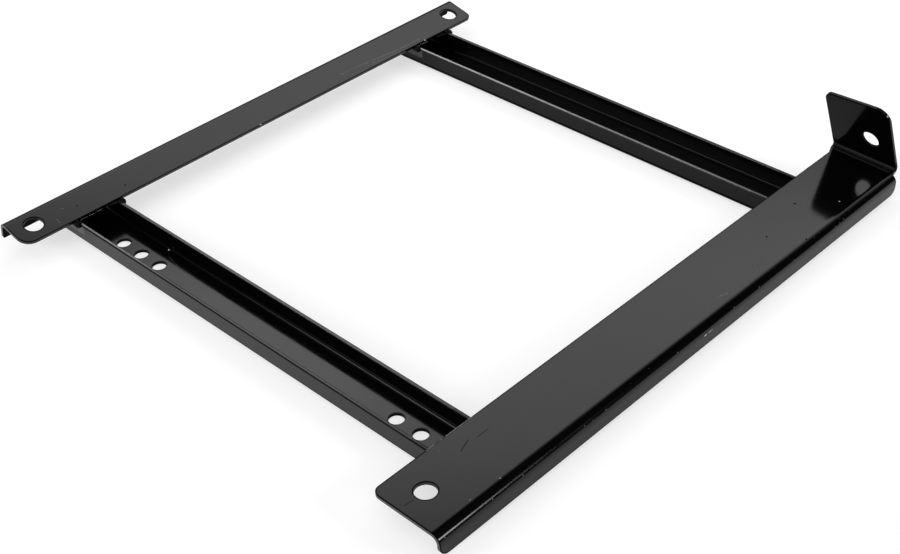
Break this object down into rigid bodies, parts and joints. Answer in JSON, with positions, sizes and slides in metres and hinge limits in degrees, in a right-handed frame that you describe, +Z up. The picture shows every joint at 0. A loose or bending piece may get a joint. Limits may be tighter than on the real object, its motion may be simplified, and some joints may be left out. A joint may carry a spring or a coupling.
{
  "type": "seat base frame",
  "caption": "Welded vehicle seat base of folded black-coated sheet steel: open cross channels, a tipped narrow rail, and a wide rail whose far end folds up into a fixing tab.",
  "frame": {"origin": "middle of the frame's outline seen from above, at the height of the channels' undersides, on which it stands", "axes": "+X across, from the narrow rail to the wide rail; +Y along the rails, towards the folded tab; +Z up"},
  "size_m": [0.3792, 0.414, 0.0633],
  "materials": {
    "coated_sheet": "gloss black powder coat on folded steel sheet",
    "coated_weld": "gloss black powder coat over rippled weld metal"
  },
  "bodies": {
    "root": {"front_channel": "coated_sheet", "rear_channel": "coated_sheet", "narrow_rail": "coated_sheet", "wide_rail": "coated_sheet", "front_narrow_welds": "coated_weld", "front_wide_welds": "coated_weld", "rear_narrow_welds": "coated_weld", "rear_wide_welds": "coated_weld"}
  },
  "joints": []
}
